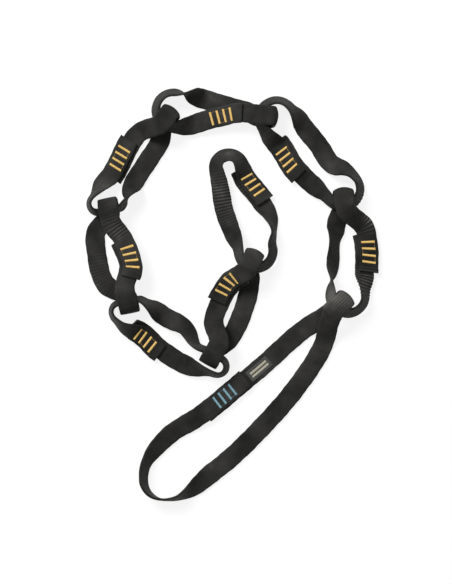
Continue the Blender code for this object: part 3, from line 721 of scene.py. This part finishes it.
def make_thread(name, colour):
    """Shiny twisted sewing thread, with a painted highlight along the top of each stitch and painted shade
    where it goes into the cloth.
    """
    surface, tree, shader = blank(name, Roughness=0.48, Sheen_Weight=0.08, Specular_IOR_Level=0.30)
    _, height = chart_places(tree, "thread")
    strands = noise(tree, 3200.0, 2.0)
    wear_and_painted_light = noise(tree, 420.0, 2.0)
    uneven = maths(tree, "MULTIPLY_ADD", strands, 0.5, maths(tree, "MULTIPLY_ADD", wear_and_painted_light, 0.5, -0.5))
    # Painted highlight and shade: each stitch paler towards its top and darker towards where it goes into
    # the cloth
    shade = maths(tree, "ADD", height, uneven)
    shaded_thread = (colour[0] * 0.45, colour[1] * 0.32, colour[2] * 0.20)
    highlit_thread = tuple(min(1.0, 1.15 * part + 0.03) for part in colour)
    tone = ramp(tree, shade, (0.05, shaded_thread), (0.55, colour), (1.0, highlit_thread))
    colour_and_bump(tree, shader, tone, strands, strength=0.4, distance=0.00008)
    return surface


def make_label_cloth():
    """Dark label cloth with plain paler bands woven in lengthwise."""
    settings = bpy.context.scene.daisy_label
    surface, tree, shader = blank("label_cloth", Roughness=0.7, Sheen_Weight=0.15)
    along_label, across_label = chart_places(tree, "cloth")
    band = maths(tree, "COMPARE", maths(tree, "ABSOLUTE", across_label), BAND_PLACE, BAND_HALF)
    inside = maths(tree, "LESS_THAN", maths(tree, "ABSOLUTE", along_label), settings.length * BAND_REACH)
    ribs = waves(tree, along_label, RIB_PITCH)
    picks = waves(tree, across_label, PICK_PITCH)
    cloth = maths(tree, "MULTIPLY", ribs, picks)
    woven = maths(tree, "MULTIPLY_ADD", cloth, 0.5, 0.5)
    shown = maths(tree, "MULTIPLY", maths(tree, "MULTIPLY", band, inside), woven)
    colour = ramp(tree, shown, (0.0, tuple(settings.colour)), (1.0, tuple(settings.band_colour)))
    colour_and_bump(tree, shader, colour, cloth, strength=0.4, distance=0.0001)
    return surface


def seen(tree):
    """1 for the rays of the camera, of gloss and of glass, and 0 for those that only bring light."""
    rays = node(tree, "ShaderNodeLightPath").outputs
    mirrored = maths(tree, "MAXIMUM", rays["Is Glossy Ray"], rays["Is Transmission Ray"])
    return maths(tree, "MAXIMUM", rays["Is Camera Ray"], mirrored)


def make_floor():
    """Pale floor, which the camera, gloss and glass see as white with the chain's soft shadow on it."""
    surface = bpy.data.materials.new("floor")
    surface.use_nodes = True
    tree = surface.node_tree
    tree.nodes.clear()
    plain = node(tree, "ShaderNodeBsdfDiffuse", [("Color", (*[FLOOR_GREY] * 3, 1.0))])
    shaded = node(tree, "ShaderNodeBsdfDiffuse", [("Color", (*[SEEN_GREY] * 3, 1.0))])
    glow = node(tree, "ShaderNodeEmission", [("Color", WHITE), ("Strength", FLOOR_GLOW)])
    white = node(tree, "ShaderNodeAddShader", [(0, shaded.outputs[0]), (1, glow.outputs[0])])
    choice = [(0, seen(tree)), (1, plain.outputs[0]), (2, white.outputs[0])]
    mixed = node(tree, "ShaderNodeMixShader", choice)
    out = tree.nodes.new("ShaderNodeOutputMaterial")
    tree.links.new(mixed.outputs[0], out.inputs[0])
    return surface


def make_tack_thread(name, setting):
    """The bar tacks' thread, in the colour of a setting."""
    return make_thread(name, tuple(getattr(bpy.context.scene.daisy_tacks, setting)))


MAKERS = {
    "black_webbing": make_webbing,
    "melted_end": make_melted_end,
    "yellow_thread": lambda: make_tack_thread("yellow_thread", "short_colour"),
    "blue_thread": lambda: make_tack_thread("blue_thread", "long_colour"),
    "label_thread": lambda: make_thread("label_thread", LABEL_THREAD_COLOUR),
    "label_cloth": make_label_cloth,
    "floor": make_floor,
}


class DAISY_OT_webbing(bpy.types.Operator):
    """Lay the nine strips of webbing"""
    bl_idname = "daisy.webbing"
    bl_label = "Webbing loops"

    def execute(self, context):
        for number in LOOPS:
            piece = lay_webbing(number)
            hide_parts(f"webbing_loop_{number}")
            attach(piece, f"loop_{number}")
        return {"FINISHED"}


class DAISY_OT_bar_tacks(bpy.types.Operator):
    """Sew a bar tack on the face and on the back of each lap"""
    bl_idname = "daisy.bar_tacks"
    bl_label = "Bar tacks"

    def execute(self, context):
        settings = context.scene.daisy_tacks
        flat = model_tack()
        gap = settings.length / (settings.stitches - 1)
        seat = context.scene.daisy_webbing.thickness / 2
        for number in LOOPS:
            strip = strip_of(number)
            thread = "blue_thread" if number == LONG_LOOP else "yellow_thread"
            for side_name in ("face", "back"):
                cad = f"bar_tack_{number}_{side_name}"
                distance, side = strip.seat_of(cad)
                piece = lay_on(strip, flat, f"tack_{number}_{side_name}", distance, side, seat, gap)
                piece.data.materials.append(finish(thread))
                pick_out(piece)
                bpy.ops.object.shade_smooth()
                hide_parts(cad)
                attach(piece, f"loop_{number}")
        bpy.data.objects.remove(flat)
        return {"FINISHED"}


class DAISY_OT_label(bpy.types.Operator):
    """Sew the bare label on the long loop"""
    bl_idname = "daisy.label"
    bl_label = "Label"

    def execute(self, context):
        settings = context.scene.daisy_label
        strip = strip_of(LONG_LOOP)
        distance, side = strip.seat_of("label")
        seat = context.scene.daisy_webbing.thickness / 2 + LABEL_LIFT
        cloth = model_label(settings)
        label = lay_on(strip, cloth, "sewn_label", distance, side, seat)
        label.data.materials.append(finish("label_cloth"))
        stitches = model_label_stitches(settings)
        seam = lay_on(strip, stitches, "label_stitches", distance, side, seat + settings.thickness)
        seam.data.materials.append(finish("label_thread"))
        bpy.data.objects.remove(cloth)
        bpy.data.objects.remove(stitches)
        for piece, cad, slot in ((label, "label", "label_cloth"), (seam, "label_seam", "label_thread")):
            pick_out(piece)
            bpy.ops.object.shade_smooth_by_angle(angle=radians(40))
            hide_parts(cad)
            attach(piece, f"loop_{LONG_LOOP}")
        return {"FINISHED"}


def model_label(settings):
    """The label's cloth, flat: a fine grid given its thickness, with softened edges."""
    tidy_selection()
    columns, rows = round(settings.length / LABEL_SQUARE), round(settings.width / LABEL_SQUARE)
    bpy.ops.mesh.primitive_grid_add(x_subdivisions=columns, y_subdivisions=rows, size=1.0, calc_uvs=True)
    cloth = bpy.context.object
    cloth.name = cloth.data.name = "flat_label"
    edit_all(cloth)
    bpy.ops.transform.resize(value=(settings.length, settings.width, 1.0))
    bpy.ops.object.mode_set(mode="OBJECT")
    chart = cloth.data.uv_layers[0]
    chart.name = "cloth"
    for corner in cloth.data.loops:
        chart.data[corner.index].uv = cloth.data.vertices[corner.vertex_index].co[:2]
    solid = cloth.modifiers.new("cloth", "SOLIDIFY")
    solid.thickness = settings.thickness
    solid.offset = 1.0
    bevel = cloth.modifiers.new("soft edge", "BEVEL")
    bevel.width = settings.thickness * 0.4
    bevel.segments = 2
    pick_out(cloth)
    bpy.ops.object.modifier_apply(modifier="cloth")
    bpy.ops.object.modifier_apply(modifier="soft edge")
    return cloth


def model_label_stitches(settings):
    """The stitches round the label, flat: two long rows and two short ones."""
    inset, pitch, thread = 0.0010, 0.0021, 0.00030
    long_half, short_half = settings.length / 2 - inset, settings.width / 2 - inset
    count = int(2 * long_half / pitch)
    row = model_thread("long_row", pitch * 0.78, thread, LABEL_STITCH)
    start = -pitch * (count - 1) / 2
    first = shifted(row, (start, -short_half, 0.0))
    repeat(first, count, (pitch, 0.0, 0.0))
    second = shifted(first, (0.0, 2 * short_half, 0.0))
    edit_all(row)
    bpy.ops.transform.rotate(value=pi / 2, orient_axis="Z", center_override=(0.0, 0.0, 0.0))
    bpy.ops.object.mode_set(mode="OBJECT")
    count = int(2 * short_half / pitch)
    start = -pitch * (count - 1) / 2
    third = shifted(row, (-long_half, start, 0.0))
    repeat(third, count, (0.0, pitch, 0.0))
    fourth = shifted(third, (2 * long_half, 0.0, 0.0))
    bpy.data.objects.remove(row)
    return joined("flat_stitches", [first, second, third, fourth])


class DAISY_OT_stage(bpy.types.Operator):
    """Set up the floor, the light and the camera"""
    bl_idname = "daisy.stage"
    bl_label = "Floor, light and camera"

    def execute(self, context):
        settings = context.scene.daisy_stage
        tidy_selection()
        bpy.ops.mesh.primitive_plane_add(size=6.0, location=(0.0, 0.0, -FLOOR_DROP))
        floor = context.object
        floor.name = "floor"
        floor.data.materials.append(finish("floor"))

        world = bpy.data.worlds.new("daylight")
        context.scene.world = world
        world.use_nodes = True
        tree = world.node_tree
        sky = tree.nodes["Background"]
        strength = maths(tree, "MULTIPLY_ADD", seen(tree), 1.0 - settings.daylight, settings.daylight)
        tree.links.new(strength, sky.inputs["Strength"])
        sky.inputs["Color"].default_value = WHITE

        bpy.ops.object.light_add(type="AREA", location=LAMP_PLACE)
        lamp = context.object
        lamp.name = "soft_lamp"
        lamp.data.shape = "DISK"
        lamp.data.size = LAMP_SIZE
        lamp.data.energy = settings.lamp
        lamp.rotation_euler = (-lamp.location).to_track_quat("-Z", "Y").to_euler()

        bpy.ops.object.camera_add(location=(*VIEW_MIDDLE, settings.distance))
        camera = context.object
        camera.name = "camera"
        camera.data.sensor_fit = "VERTICAL"
        camera.data.sensor_height = SENSOR
        camera.data.lens = SENSOR * settings.distance / VIEW_HEIGHT
        camera.data.clip_start = 0.01
        context.scene.camera = camera
        context.scene.view_settings.view_transform = "Standard"
        return {"FINISHED"}


class DAISY_PT_maker(bpy.types.Panel):
    """The steps of the daisy chain, in order"""
    bl_idname = "DAISY_PT_maker"
    bl_label = "Daisy Chain"
    bl_space_type = "VIEW_3D"
    bl_region_type = "UI"
    bl_category = "Daisy Chain"

    def draw(self, context):
        layout = self.layout
        for step in STEPS:
            layout.operator(step.bl_idname)
        for group, title in GROUPS.items():
            box = layout.box()
            box.label(text=title)
            settings = getattr(context.scene, group)
            for name in settings.__annotations__:
                box.prop(settings, name)


STEPS = (DAISY_OT_webbing, DAISY_OT_bar_tacks, DAISY_OT_label, DAISY_OT_stage)
GROUPS = {
    "daisy_webbing": "Webbing",
    "daisy_tacks": "Bar tacks",
    "daisy_label": "Label",
    "daisy_stage": "Stage",
}
SETTINGS = (WebbingSettings, TackSettings, LabelSettings, StageSettings)


def register():
    """Register the settings, the steps and the panel."""
    for each in SETTINGS + STEPS + (DAISY_PT_maker,):
        bpy.utils.register_class(each)
    for group, settings in zip(GROUPS, SETTINGS):
        setattr(bpy.types.Scene, group, bpy.props.PointerProperty(type=settings))


def unregister():
    """Take back all that register added."""
    for group in GROUPS:
        delattr(bpy.types.Scene, group)
    for each in reversed(SETTINGS + STEPS + (DAISY_PT_maker,)):
        bpy.utils.unregister_class(each)


def main():
    """Make the chain and its stage."""
    register()
    bpy.ops.daisy.webbing()
    bpy.ops.daisy.bar_tacks()
    bpy.ops.daisy.label()
    bpy.ops.daisy.stage()


if __name__ == "__main__":
    main()
